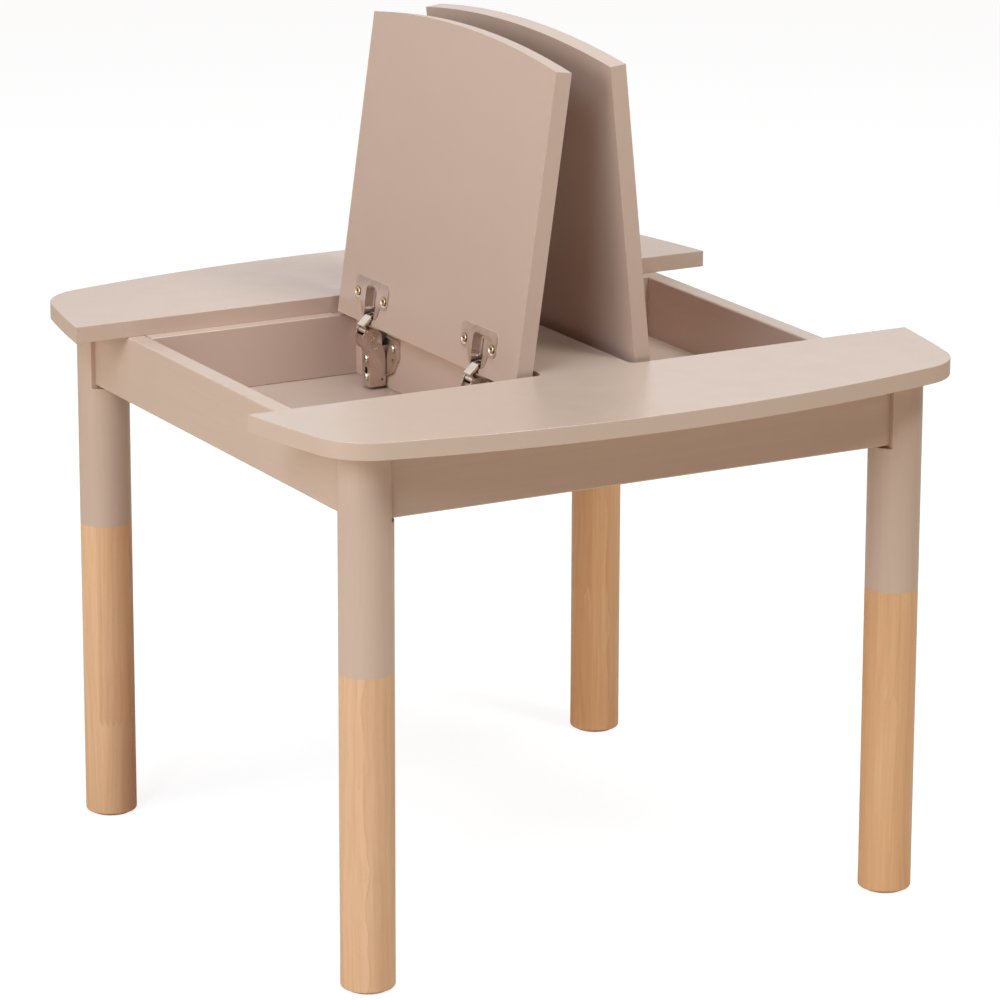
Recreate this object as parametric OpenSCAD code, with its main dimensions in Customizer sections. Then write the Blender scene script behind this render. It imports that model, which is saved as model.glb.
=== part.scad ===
// Children's table with two lifting lids over two storage trays.
// +Z is up, the origin is on the floor at the centre of the footprint.
// X runs across the lids, Y along their hinge lines, Z up. Sizes in millimetres.
// The lids are drawn open, as they rest on the stops of their hinges.

/* [Top] */
// Height of the table top above the floor
table_h = 518; // [440:1:630]
// Full width of the top, between the middles of two opposite sides
top_span = 716; // [640:1:860]
// Thickness of the fixed top and of the lids
board_t = 16; // [13:1:19]
// Radius of the bowed sides
bow_r = 1250; // [1000:10:2000]
// Radius of the four outer corners
corner_r = 58; // [40:1:75]
// Width of the two fixed strips, from a side's middle to the opening
strip_w = 174.5; // [150:0.5:190]
// Width of the fixed bar between the lids
bar_w = 92; // [80:1:120]
// Radius of the inner corners where the bar meets the strips
inner_r = 8; // [4:1:12]

/* [Legs] */
// Diameter of a leg
leg_d = 50; // [44:1:60]
// From a side's middle to the axis of a leg
leg_inset = 82.5; // [75:0.5:95]
// From a leg's axis to the flats that take the apron ends
leg_flat = 15.5; // [13:0.5:18]
// How far the flats run down below the aprons
leg_step = 2.5; // [1:0.5:5]
// Rounding of the lower edge of a leg
foot_round = 2.5; // [1:0.5:4]
// Diameter of the glide pad under a leg
glide_d = 40; // [30:1:42]
// Thickness of the glide pad
glide_t = 2; // [1:0.5:4]

/* [Frame] */
// Height of the aprons
apron_h = 64; // [56:1:90]
// Thickness of the aprons
apron_t = 18; // [15:0.5:20]
// From a leg's axis out to the face of the aprons
apron_set = 15; // [12:0.5:18]
// Rounding of the long edges of the aprons
apron_round = 2; // [1:0.5:3]
// Thickness of the inner walls and dividers
wall_t = 18; // [15:0.5:20]
// How far the inner walls stand out into the opening, under the lids
wall_ledge = 13.5; // [11:0.5:16]
// How far a divider stands out past the edge of the bar
divider_ledge = 9; // [8:0.5:11]
// Thickness of the storage floor
floor_t = 4; // [3:0.5:5]
// How far the storage floor is let into the side aprons
floor_lap = 8; // [5:0.5:10]
// Depth of the step in the ledges beside the hinge line, where a lid dips as it swings
ledge_step = 1.2; // [1:0.1:2]

/* [Lids] */
// Gap between a lid and the bar, lid closed
lid_bar_gap = 4.4; // [4:0.1:4.8]
// How far the outer edge of a closed lid lies inside the top's outline
lid_short = 3; // [1:0.5:5]
// Gap between the ends of a lid and the strips
lid_end_gap = 7; // [3:0.5:8]
// Gap under a closed lid
lid_seat = 0.3; // [0.2:0.1:0.6]
// Opening angle of the left lid
left_open = 98.1; // [92:0.1:99]
// Opening angle of the right lid
right_open = 95.9; // [92:0.1:99]

/* [Hinges] */
// From the front end of a lid to the centre of the front hinge
front_hinge_inset = 75.5; // [60:0.5:100]
// From the back end of a lid to the centre of the back hinge
back_hinge_inset = 64.5; // [60:0.5:100]
// Diameter of the hinge cup
cup_d = 35; // [35:1:40]
// Depth of the hinge cup
cup_depth = 11.5; // [11:0.5:12.5]
// From the lid's hinge edge to the rim of the cup
cup_edge = 4; // [3.5:0.5:6]
// Wall of the cup
cup_wall = 0.6; // [0.5:0.05:0.65]
// Width of the cup's opening
cup_slot_w = 19; // [18:0.5:20]
// How far the lip stands out round the cup
cup_lip = 1.3; // [0.6:0.1:1.8]
// From a cup screw out to the end of the flange
flange_rim = 7; // [5:0.5:9]
// Thickness of the flange
flange_t = 1.2; // [1:0.1:1.5]
// Distance between the two cup screws
cup_screw_pitch = 52; // [48:1:54]
// Diameter of the hinge pins
pin_d = 2.5; // [2.2:0.1:2.6]
// Gap between the outer link and each side of the arm
link_gap = 0.8; // [0.6:0.1:1.2]
// How far the outer link bows out past the line of its pins
outer_link_bow = 5.6; // [5.4:0.05:5.8]
// Width of the inner link, which hooks round the edge of the lid
inner_link_w = 6; // [5:0.2:6.4]
// Width of the hinge arm
arm_w = 16.6; // [16:0.1:17.4]
// Thickness of the steel of the arm
arm_t = 1.3; // [1:0.1:1.6]
// Width of the mounting plate across its wings
plate_w = 68; // [60:1:72]
// Distance between the two screws of the mounting plate
plate_screw_pitch = 44; // [38:1:48]

/* [Fastenings] */
// Diameter of the wooden dowels
dowel_d = 8; // [6:1:8]
// Length of the dowels in the frame
dowel_len = 34; // [28:1:36]
// Width of a corner bracket's tab along the apron
tab_w = 28; // [22:1:32]
// Thickness of the corner brackets
bracket_t = 2.5; // [2:0.5:3]
// Diameter of the hanger bolts that pull the legs in
bolt_d = 8; // [6:1:8]
// Length of the screws in the storage floor
floor_screw_len = 28; // [20:1:34]

/* [Hidden] */
$fn = 64;
fine = 720;
fit = 0.05;
wood = "burlywood";
paint = "rosybrown";
steel = "silver";
brass = "goldenrod";

// Frame, seen from above and from the side
under = table_h - board_t;
half = top_span / 2;
leg_r = leg_d / 2;
leg_pos = half - leg_inset;
joint_face = leg_pos - leg_flat;
apron_out = leg_pos + apron_set;
apron_in = apron_out - apron_t;
apron_mid = apron_out - apron_t / 2;
apron_z = under - apron_h;
open_y = half - strip_w;
wall_in = open_y - wall_ledge;
wall_out = wall_in + wall_t;
wall_mid = wall_in + wall_t / 2;
bar_x = bar_w / 2;
div_out = bar_x + divider_ledge;
div_mid = div_out - wall_t / 2;
floor_top = apron_z + floor_t;
lid_y = open_y - lid_end_gap;
hinge_ys = [front_hinge_inset - lid_y, lid_y - back_hinge_inset];

// Five evenly spaced heights on an apron, for the dowels and the bolt
function level(k) = apron_z + 7 + k * (apron_h - 14) / 4;

// Linkage of a hinge. Points are [out from the table's middle, up].
// The two lid pins are [in from the lid's hinge edge, up from its underside].
lid_edge = [bar_x + lid_bar_gap, under + lid_seat];
arm_pin_top = [div_out + 21.9, under - 2.7];
arm_pin_low = [div_out + 16.4, under - 10.8];
lid_pin_deep = [9.7, 7.9];
lid_pin_near = [7.2, 4.1];
outer_link_w = arm_w - 2 * (arm_t + link_gap);
outer_link_len = norm(lid_edge + lid_pin_deep - arm_pin_top);
inner_link_len = norm(lid_edge + lid_pin_near - arm_pin_low);
pin_r = pin_d / 2;
bore_r = pin_r + fit;

function turned(v, a) = [v.x * cos(a) - v.y * sin(a), v.x * sin(a) + v.y * cos(a)];
function square_of(x) = x * x;

// Where a circle round p meets a circle round q, on one side of the line between them
function meet(p, rp, q, rq, side) =
  let (d = q - p, n = norm(d), a = (square_of(rp) - square_of(rq) + n * n) / (2 * n))
  p + a / n * d + side * sqrt(square_of(rp) - a * a) / n * [-d.y, d.x];

// The deep lid pin with the lid open by an angle, found on either side of the links
function deep_pin_on(side, angle) =
  meet(arm_pin_top, outer_link_len,
       arm_pin_low - turned(lid_pin_near - lid_pin_deep, angle), inner_link_len, side);
link_side = norm(deep_pin_on(1, 0) - lid_edge - lid_pin_deep) < 0.001 ? 1 : -1;
function deep_pin(angle) = deep_pin_on(link_side, angle);
function near_pin(angle) = deep_pin(angle) + turned(lid_pin_near - lid_pin_deep, angle);
function lid_corner(angle) = deep_pin(angle) - turned(lid_pin_deep, angle);

/* Sheets and profiles */

// Square with bowed sides and round corners, drawn with true arcs
module bowed_square() {
  centre = bow_r - half;
  reach = bow_r - corner_r;
  corner = (sqrt(2 * reach * reach - centre * centre) - centre) / 2;
  touch = bow_r / reach * [corner + centre, corner] - [centre, 0];
  cut = sqrt(2) * (touch.x + touch.y);
  intersection() {
    bowed_strip(centre, 0);
    bowed_strip(centre, 1);
    rotate(45) square(cut, center = true);
  }
  for (x = [-corner, corner], y = [-corner, corner]) {
    translate([x, y]) circle(corner_r, $fn = fine);
  }
}

// The strip between two opposite bowed sides
module bowed_strip(centre, turn) {
  rotate(90 * turn) intersection() {
    translate([-centre, 0]) circle(bow_r, $fn = fine);
    translate([centre, 0]) circle(bow_r, $fn = fine);
  }
}

module rounded_box(w, h, r) {
  translate([-w / 2, -h / 2 + r]) square([w, h - 2 * r]);
  translate([-w / 2 + r, -h / 2]) square([w - 2 * r, h]);
  for (x = [r - w / 2, w / 2 - r], y = [r - h / 2, h / 2 - r]) {
    translate([x, y]) circle(r);
  }
}

// Board on edge along X, centred, with its long edges rounded
module edge_board(length, thick, z0, z1, r) {
  translate([-length / 2, 0, (z0 + z1) / 2]) rotate([90, 0, 90]) linear_extrude(length)
    rounded_box(thick, z1 - z0, r);
}

// Upright sheet: a shape drawn in [out, up], spread across Y
module across(y0, y1) {
  translate([0, y1, 0]) rotate([90, 0, 0]) linear_extrude(y1 - y0) children();
}

module cross_pin(p, r, length) {
  translate([p.x, 0, p.y]) rotate([90, 0, 0]) cylinder(r = r, h = length, center = true);
}

// Wooden dowel along Z, centred, with bevelled ends
module dowel(length) {
  bevel = 0.8;
  r = dowel_d / 2;
  rotate_extrude() polygon([
    [0, -length / 2], [r - bevel, -length / 2], [r, bevel - length / 2],
    [r, length / 2 - bevel], [r - bevel, length / 2], [0, length / 2]]);
}

module dowel_bore(length) {
  cylinder(r = dowel_d / 2 + fit, h = length + 1, center = true);
}

// Screw along Z: the head stands on the plane z = 0, the shank goes down
module screw(head_r, head_h, shank_r, length) {
  bevel = head_h * 0.45;
  rotate_extrude() polygon([
    [0, -length], [shank_r * 0.3, -length], [shank_r, -length + 2 * shank_r], [shank_r, 0],
    [head_r, 0], [head_r, head_h - bevel], [head_r - bevel, head_h], [0, head_h]]);
}

// Countersunk screw along Z: the top of the head is at z = 0, the shank goes down
module sunk_screw(head_r, shank_r, length) {
  rotate_extrude() polygon([
    [0, -length], [shank_r * 0.3, -length], [shank_r, -length + 2 * shank_r],
    [shank_r, shank_r - head_r], [head_r, 0], [0, 0]]);
}

module four_corners() {
  for (x = [0, 1], y = [0, 1]) mirror([x, 0, 0]) mirror([0, y, 0]) children();
}

module on_side(side) {
  mirror([side < 0 ? 1 : 0, 0, 0]) children();
}

/* Dowel places, shared by the dowels and the bores */

module at_frame_dowels() {
  four_corners() {
    for (k = [0, 3]) translate([joint_face, apron_mid, level(k)]) rotate([0, 90, 0]) children();
    for (k = [1, 4]) translate([apron_mid, joint_face, level(k)]) rotate([90, 0, 0]) children();
  }
}

top_dowel_up = 9;
top_dowel_down = 20;
module at_top_dowels() {
  z = under + (top_dowel_up - top_dowel_down) / 2;
  near_end = joint_face - 90;
  in_leg = joint_face + (dowel_len + dowel_d) / 2 + 2.5;
  for (x = [-near_end, 0, near_end], y = [-apron_mid, apron_mid]) translate([x, y, z]) children();
  four_corners() translate([in_leg, in_leg, z]) children();
}

box_dowel_len = 28;
apron_share = 12;
wall_share = 10;
module at_box_dowels() {
  four_corners() for (z = [floor_top + 14, under - 14]) {
    translate([apron_in + apron_share - box_dowel_len / 2, wall_mid, z]) rotate([0, 90, 0]) children();
    translate([div_mid, wall_in + wall_share - box_dowel_len / 2, z]) rotate([90, 0, 0]) children();
  }
}

floor_head_r = 3.75;
floor_shank_r = 1.75;
module at_floor_screws() {
  outer_x = apron_in - 52.5;
  inner_x = (apron_in - 12.5) / 2;
  inner_y = (wall_in - 50) / 2;
  for (x = [-outer_x, -inner_x, 0, inner_x, outer_x], y = [-wall_mid, wall_mid]) {
    translate([x, y, apron_z]) mirror([0, 0, 1]) children();
  }
  for (x = [-div_mid, div_mid], y = [-inner_y, inner_y]) {
    translate([x, y, apron_z]) mirror([0, 0, 1]) children();
  }
}

module floor_screw_bores() {
  at_floor_screws() sunk_screw(floor_head_r + fit, floor_shank_r + fit, floor_screw_len + 1);
}

/* Table top */

module tray_opening() {
  far = 2 * half;
  translate([bar_x + inner_r, -open_y]) square([far, 2 * open_y]);
  translate([bar_x, inner_r - open_y]) square([far, 2 * (open_y - inner_r)]);
  for (y = [inner_r - open_y, open_y - inner_r]) translate([bar_x + inner_r, y]) circle(inner_r);
}

module fixed_top() {
  color(paint) difference() {
    translate([0, 0, under]) linear_extrude(board_t) difference() {
      bowed_square();
      for (side = [-1, 1]) on_side(side) tray_opening();
    }
    at_top_dowels() dowel_bore(top_dowel_up + top_dowel_down);
  }
}

/* Lids, drawn shut with the hinge edge at x = 0 and the underside at z = 0 */

module lid_pose(angle) {
  corner = lid_corner(angle);
  translate([corner.x, 0, corner.y]) rotate([0, -angle, 0]) children();
}

module lid(side, angle) {
  color(paint) on_side(side) lid_pose(angle) difference() {
    linear_extrude(board_t) intersection() {
      translate([-lid_edge.x - lid_short, 0]) bowed_square();
      translate([0, -lid_y]) square([half, 2 * lid_y]);
    }
    for (y = hinge_ys) translate([0, y, 0]) {
      translate([cup_mid, 0, -1]) cylinder(r = cup_d / 2 + fit, h = cup_depth + 1.2);
      cup_screw_places() cylinder(r = cup_shank_r + fit, h = 2 * cup_shank_len, center = true);
      cup_pin_bores();
    }
  }
}

module lid_left() {
  lid(-1, left_open);
}

module lid_right() {
  lid(1, right_open);
}

/* Aprons, inner box and floor */

module long_apron(y_sign) {
  color(paint) difference() {
    translate([0, y_sign * apron_mid, 0]) edge_board(2 * joint_face, apron_t, apron_z, under, apron_round);
    at_frame_dowels() dowel_bore(dowel_len);
    at_top_dowels() dowel_bore(top_dowel_up + top_dowel_down);
    bracket_screw_bores();
  }
}

module side_apron(side) {
  color(paint) difference() {
    translate([side * apron_mid, 0, 0]) rotate(90)
      edge_board(2 * joint_face, apron_t, apron_z, under, apron_round);
    at_frame_dowels() dowel_bore(dowel_len);
    at_box_dowels() dowel_bore(box_dowel_len);
    bracket_screw_bores();
    translate([0, 0, floor_top - floor_t])
      cube([2 * (apron_in + floor_lap + fit), 2 * (wall_out + fit), 2 * floor_t], center = true);
  }
}

module apron_front() {
  long_apron(-1);
}

module apron_back() {
  long_apron(1);
}

module apron_left() {
  side_apron(-1);
}

module apron_right() {
  side_apron(1);
}

wall_round = 1;
step_reach = 30;

// Steps in the ledges beside the hinge lines, from the edge of the bar outwards
module ledge_steps(reach) {
  for (side = [-1, 1]) on_side(side) translate([bar_x, -open_y, under - ledge_step])
    cube([reach, 2 * open_y, board_t]);
}

module box_wall(y_sign) {
  color(paint) difference() {
    translate([0, y_sign * wall_mid, 0]) edge_board(2 * apron_in, wall_t, floor_top, under, wall_round);
    at_box_dowels() dowel_bore(box_dowel_len);
    floor_screw_bores();
    ledge_steps(step_reach);
  }
}

module box_wall_front() {
  box_wall(-1);
}

module box_wall_back() {
  box_wall(1);
}

module divider(side) {
  color(paint) difference() {
    translate([side * div_mid, 0, 0]) rotate(90)
      edge_board(2 * wall_in, wall_t, floor_top, under, wall_round);
    at_box_dowels() dowel_bore(box_dowel_len);
    floor_screw_bores();
    for (k = [0, 1]) at_hinge(side, k) plate_screw_bores();
    ledge_steps(step_reach);
  }
}

module divider_left() {
  divider(-1);
}

module divider_right() {
  divider(1);
}

module storage_floor() {
  color(paint) difference() {
    translate([-apron_in - floor_lap, -wall_out, apron_z])
      cube([2 * (apron_in + floor_lap), 2 * wall_out, floor_t]);
    floor_screw_bores();
  }
}

/* Legs */

stud_r = 3;
stud_len = 12;
module leg(x_sign, y_sign) {
  cut_z = apron_z - leg_step;
  size = 2 * leg_d;
  color(wood) difference() {
    translate([x_sign * leg_pos, y_sign * leg_pos, 0]) rotate_extrude() {
      translate([0, glide_t]) square([leg_r - foot_round, leg_r]);
      translate([0, glide_t + foot_round]) square([leg_r, under - glide_t - foot_round]);
      translate([leg_r - foot_round, glide_t + foot_round]) intersection() {
        circle(foot_round);
        translate([0, -foot_round]) square(foot_round);
      }
    }
    translate([x_sign * (joint_face - size / 2), y_sign * leg_pos, cut_z + under / 2])
      cube([size, size, under], center = true);
    translate([x_sign * leg_pos, y_sign * (joint_face - size / 2), cut_z + under / 2])
      cube([size, size, under], center = true);
    at_frame_dowels() dowel_bore(dowel_len);
    at_top_dowels() dowel_bore(top_dowel_up + top_dowel_down);
    at_bolts() cylinder(r = bolt_d / 2 + fit, h = 2 * bolt_in + 2, center = true);
    translate([x_sign * leg_pos, y_sign * leg_pos, 0])
      cylinder(r = stud_r + fit, h = glide_t + stud_len + 0.5);
  }
}

module leg_front_left() {
  leg(-1, -1);
}

module leg_front_right() {
  leg(1, -1);
}

module leg_back_left() {
  leg(-1, 1);
}

module leg_back_right() {
  leg(1, 1);
}

module foot_glides() {
  r = glide_d / 2;
  bevel = 0.5;
  color("white") four_corners() translate([leg_pos, leg_pos, 0]) rotate_extrude() polygon([
    [0, 0], [r - bevel, 0], [r, bevel], [r, glide_t], [stud_r, glide_t],
    [stud_r, glide_t + stud_len - 1], [stud_r - 1, glide_t + stud_len], [0, glide_t + stud_len]]);
}

/* Fastenings of the frame */

module frame_dowels() {
  color(wood) at_frame_dowels() dowel(dowel_len);
}

module top_dowels() {
  color(wood) at_top_dowels() dowel(top_dowel_up + top_dowel_down);
}

module box_dowels() {
  color(wood) at_box_dowels() dowel(box_dowel_len);
}

module floor_screws() {
  color(steel) at_floor_screws() sunk_screw(floor_head_r, floor_shank_r, floor_screw_len);
}

// The bracket crosses the corner square to the bolt, this far from the leg's edge
corner_gap = 6;
bracket_h = 36;
bolt_in = 30;
nut_h = 6.5;
nut_af = 13;
washer_r = 8;
washer_t = 1.6;
bolt_out = corner_gap + bracket_t + washer_t + nut_h + 5;

// Z runs along the bolt, out into the leg, from the leg's inner edge
module at_bolts() {
  four_corners() translate([joint_face, joint_face, level(2)]) rotate([0, 90, 45]) children();
}

module corner_brackets() {
  web = 2 * joint_face - sqrt(2) * corner_gap;
  inner_web = web - sqrt(2) * bracket_t;
  face = apron_in;
  back = apron_in - bracket_t;
  color(steel) difference() {
    four_corners() translate([0, 0, level(2) - bracket_h / 2]) linear_extrude(bracket_h) polygon([
      [face, web - face], [web - face, face], [web - face - tab_w, face], [web - face - tab_w, back],
      [inner_web - back, back], [back, inner_web - back], [back, web - face - tab_w],
      [face, web - face - tab_w]]);
    at_bolts() cylinder(r = bolt_d / 2 + fit, h = 2 * bolt_out, center = true);
    at_bracket_screws() cylinder(r = tab_shank_r + fit, h = 2 * tab_screw_len, center = true);
  }
}

tab_shank_r = 2;
tab_screw_len = 15;
module at_bracket_screws() {
  tab_mid = 2 * joint_face - sqrt(2) * corner_gap - apron_in - tab_w / 2;
  four_corners() for (dz = [-10, 10]) {
    translate([tab_mid, apron_in - bracket_t, level(2) + dz]) rotate([90, 0, 0]) children();
    translate([apron_in - bracket_t, tab_mid, level(2) + dz]) rotate([0, -90, 0]) children();
  }
}

module bracket_screw_bores() {
  at_bracket_screws() cylinder(r = tab_shank_r + fit, h = 2 * tab_screw_len + 1, center = true);
}

module bracket_screws() {
  color(steel) at_bracket_screws() screw(3.8, 2.2, tab_shank_r, tab_screw_len);
}

module hanger_bolts() {
  bevel = 1;
  r = bolt_d / 2;
  color(steel) at_bolts() rotate_extrude() polygon([
    [0, -bolt_out], [r - bevel, -bolt_out], [r, bevel - bolt_out], [r, bolt_in - 3],
    [r - 2, bolt_in], [0, bolt_in]]);
}

module hanger_nuts() {
  color(steel) at_bolts() translate([0, 0, -corner_gap - bracket_t - fit]) mirror([0, 0, 1]) difference() {
    union() {
      cylinder(r = washer_r, h = washer_t);
      translate([0, 0, washer_t]) cylinder(r = nut_af / 2 / cos(30), h = nut_h, $fn = 6);
    }
    cylinder(r = bolt_d / 2 + fit, h = 3 * nut_h, center = true);
  }
}

/* Hinge cups, in the lids */

cup_mid = cup_edge + cup_d / 2;
cup_floor = 1;
cup_shank_r = 1.9;
cup_shank_len = 12;
cup_pin_len = cup_slot_w + 0.6;
flange_back = 20;
flange_front = 43.5;
slot_end = 38;
screw_row = 27.5;

module at_hinge(side, k) {
  on_side(side) translate([0, hinge_ys[k], 0]) children();
}

module cup_screw_places() {
  for (y = [-cup_screw_pitch / 2, cup_screw_pitch / 2]) translate([screw_row, y, 0]) children();
}

module cup_pin_bores() {
  for (p = [lid_pin_deep, lid_pin_near]) cross_pin(p, bore_r, cup_pin_len + 0.2);
}

// Opening of the cup: straight sides, round at the front, and the cup's wall at the back
module cup_slot() {
  r = cup_slot_w / 2;
  intersection() {
    translate([cup_mid, 0]) circle(cup_d / 2 - cup_wall);
    union() {
      translate([0, -r]) square([slot_end - r, cup_slot_w]);
      translate([slot_end - r, 0]) circle(r);
    }
  }
}

module hinge_cup(side, k, angle) {
  lip_from = cup_edge + 3;
  flange_mid = (flange_back + flange_front) / 2;
  color(steel) on_side(side) lid_pose(angle) translate([0, hinge_ys[k], 0]) difference() {
    union() {
      translate([cup_mid, 0, 0]) cylinder(r = cup_d / 2, h = cup_depth);
      translate([0, 0, -0.8]) linear_extrude(0.8) intersection() {
        translate([cup_mid, 0]) circle(cup_d / 2 + cup_lip);
        translate([lip_from, -cup_d]) square(2 * cup_d);
      }
      translate([flange_mid, 0, -flange_t]) linear_extrude(flange_t)
        rounded_box(flange_front - flange_back, cup_screw_pitch + 2 * flange_rim, 5);
    }
    translate([0, 0, -2]) linear_extrude(cup_depth - cup_floor + 2) cup_slot();
    cup_screw_places() cylinder(r = cup_shank_r + fit, h = 4 * flange_t, center = true);
    cup_pin_bores();
  }
}

module cup_screws(side, angle) {
  color(brass) on_side(side) lid_pose(angle) for (y = hinge_ys) translate([0, y, -flange_t])
    cup_screw_places() mirror([0, 0, 1]) screw(3.7, 2, cup_shank_r, cup_shank_len);
}

module cup_pins(side, angle) {
  color(steel) on_side(side) lid_pose(angle) for (y = hinge_ys) translate([0, y, 0])
    for (p = [lid_pin_deep, lid_pin_near]) cross_pin(p, pin_r, cup_pin_len);
}

/* Links, drawn along X from the arm pin, with their outer side down */

eye_r = 2.2;
cheek_t = 1.8;
web_t = 1.4;
bow_t = 2.4;

function heading(from, to) = atan2(to.y - from.y, to.x - from.x);

module link_pose(from, to) {
  translate([from.x, 0, from.y]) rotate([0, -heading(from, to), 0]) children();
}

// Band of a bowed link between two radii, as wide as the angle between its pins
module bow_band(length, bow, r_in, r_out, share) {
  r = (length * length / 4 + bow * bow) / (2 * bow);
  spread = asin(length / 2 / r);
  reach = 2 * r;
  translate([length / 2, r - bow]) intersection() {
    difference() {
      circle(r + r_out);
      circle(r + r_in);
    }
    polygon([[0, 0], reach * [-sin(spread), -cos(spread)], [0, -2 * reach],
             reach * [sin(spread * share), -cos(spread * share)]]);
  }
}

// The outer link's lower end is an open hook over the arm's top pin
module outer_link(side, k, angle) {
  open = max(left_open, right_open);
  heading_open = heading(arm_pin_top, deep_pin(open));
  stop_pin = turned(near_pin(open) - arm_pin_top, -heading_open);
  half_w = outer_link_w / 2;
  mouth_r = pin_r + 0.4;
  mouth_angle = 147;
  color(steel) at_hinge(side, k) link_pose(arm_pin_top, deep_pin(angle)) difference() {
    union() {
      for (y = [-half_w, half_w - cheek_t]) across(y, y + cheek_t) {
        bow_band(outer_link_len, outer_link_bow, -bow_t / 2, bow_t / 2, 1);
        circle(eye_r + 0.2);
        translate([outer_link_len, 0]) circle(eye_r);
      }
      across(-half_w, half_w) {
        bow_band(outer_link_len, outer_link_bow, bow_t / 2 - web_t, bow_t / 2, 0.42);
        circle(eye_r + 0.2);
      }
    }
    across(-outer_link_w, outer_link_w) rotate(mouth_angle) {
      circle(mouth_r);
      translate([0, -mouth_r]) square([2 * eye_r, 2 * mouth_r]);
    }
    cross_pin([outer_link_len, 0], bore_r, 2 * outer_link_w);
    cross_pin(stop_pin, pin_r + 0.3, 2 * outer_link_w);
  }
}

// The inner link hooks out of the cup and round the lid's edge, down to the arm's low pin
module inner_link(side, k, angle) {
  neck_w = 1.7;
  neck = inner_link_len - 0.5;
  hook = 5.4;
  bar = 1.5;
  foot_r = 3;
  color(steel) at_hinge(side, k) link_pose(arm_pin_low, near_pin(angle)) difference() {
    across(-inner_link_w / 2, inner_link_w / 2) {
      translate([inner_link_len, 0]) circle(eye_r - 0.2);
      circle(foot_r);
      polygon([
        [neck - neck_w, 0.5], [neck - neck_w, bar - hook], [11.5, bar - hook], [8, 0], [5, foot_r],
        [0, foot_r], [0, -foot_r], [5, -foot_r], [11, -hook], [neck - 1, -hook], [neck, 1 - hook], [neck, 0.5]]);
    }
    cross_pin([inner_link_len, 0], bore_r, 2 * inner_link_w);
    cross_pin([0, 0], bore_r, 2 * inner_link_w);
  }
}

/* Hinge arms and mounting plates, on the dividers */

function from_face(out, up) = [div_out + out, under + up];
arm_foot = floor_top + 3 - under;
arm_bend = -23;
arm_nose = -15;
arm_out = 19.2;
nose_out = 25;
fixing_z = under - 48;
adjust_z = under - 30.3;
arm_pin_len = arm_w + 0.8;

module arm_side() {
  nose_r = 3;
  back_r = 10.5;
  polygon([
    from_face(2.5, arm_foot), from_face(2.5, -32), from_face(3.4, -25), from_face(6.5, -16),
    from_face(6.5, -back_r), from_face(6.5 + back_r, -back_r), from_face(6.5 + back_r, 0),
    from_face(nose_out - nose_r, 0), from_face(nose_out - nose_r, -nose_r), from_face(nose_out, -nose_r),
    from_face(nose_out, arm_nose), from_face(arm_out, arm_bend), from_face(arm_out, arm_foot)]);
  translate(from_face(6.5 + back_r, -back_r)) circle(back_r);
  translate(from_face(nose_out - nose_r, -nose_r)) circle(nose_r);
}

module arm_web() {
  polygon([
    from_face(nose_out, -6), from_face(nose_out, arm_nose), from_face(arm_out, arm_bend),
    from_face(arm_out, arm_foot), from_face(arm_out - arm_t, arm_foot),
    from_face(arm_out - arm_t, arm_bend + 0.4), from_face(nose_out - arm_t, arm_nose + 0.4), from_face(nose_out - arm_t, -6)]);
}

module hinge_arm(side, k) {
  half_w = arm_w / 2;
  slot_r = 2.7;
  color(steel) at_hinge(side, k) difference() {
    union() {
      for (y = [-half_w, half_w - arm_t]) across(y, y + arm_t) arm_side();
      across(-half_w, half_w) arm_web();
    }
    for (p = [arm_pin_top, arm_pin_low]) cross_pin(p, bore_r, 2 * arm_w);
    translate([div_out + arm_out, 0, 0]) rotate([0, 90, 0]) linear_extrude(3 * arm_t, center = true) {
      translate([-fixing_z, 0]) circle(slot_r);
      translate([-fixing_z - 7, 0]) circle(slot_r);
      translate([-fixing_z - 7, -slot_r]) square([7, 2 * slot_r]);
      translate([-adjust_z, 0]) circle(slot_r);
    }
    cross_pin(from_face(6.3, -50.3), 1.5, 2 * arm_w);
  }
}

module arm_pins(side) {
  color(steel) for (k = [0, 1], p = [arm_pin_top, arm_pin_low]) at_hinge(side, k)
    cross_pin(p, pin_r, arm_pin_len);
}

boss_out = 16.5;
arm_shank_r = 2.4;
module at_arm_screws() {
  for (z = [fixing_z, adjust_z]) translate([div_out + arm_out, 0, z]) rotate([0, 90, 0]) children();
}

module arm_screws(side) {
  color(steel) for (k = [0, 1]) at_hinge(side, k) at_arm_screws() difference() {
    screw(4, 1.8, arm_shank_r, 11);
    translate([0, 0, 1.8]) cube([12, 1, 1.8], center = true);
  }
}

plate_t = 2;
plate_rim = 4;
plate_screw_z = under - 18;
spare_hole_z = under - 30.3;
plate_shank_r = 1.9;

// Outline of the mounting plate in [Y, up], drawn in from its edge by inset
module plate_outline(inset) {
  w = plate_w / 2 - inset;
  top = under - 7.5 - inset;
  polygon([
    [-w, top], [w, top], [w, under - 26 + inset / 2], [22 - inset / 2, under - 42 + inset],
    [10, under - 47 + inset], [-10, under - 47 + inset], [inset / 2 - 22, under - 42 + inset],
    [-w, under - 26 + inset / 2]]);
}

// Raised sheet on the divider's face, from one distance out to another
module on_face(from, to) {
  translate([div_out + from, 0, 0]) rotate([90, 0, 90]) linear_extrude(to - from) children();
}

module at_plate_screws() {
  for (y = [-plate_screw_pitch / 2, plate_screw_pitch / 2]) {
    translate([div_out + plate_t, y, plate_screw_z]) rotate([0, 90, 0]) children();
  }
}

module plate_screw_bores() {
  at_plate_screws() cylinder(r = plate_shank_r + fit, h = 33, center = true);
}

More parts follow.
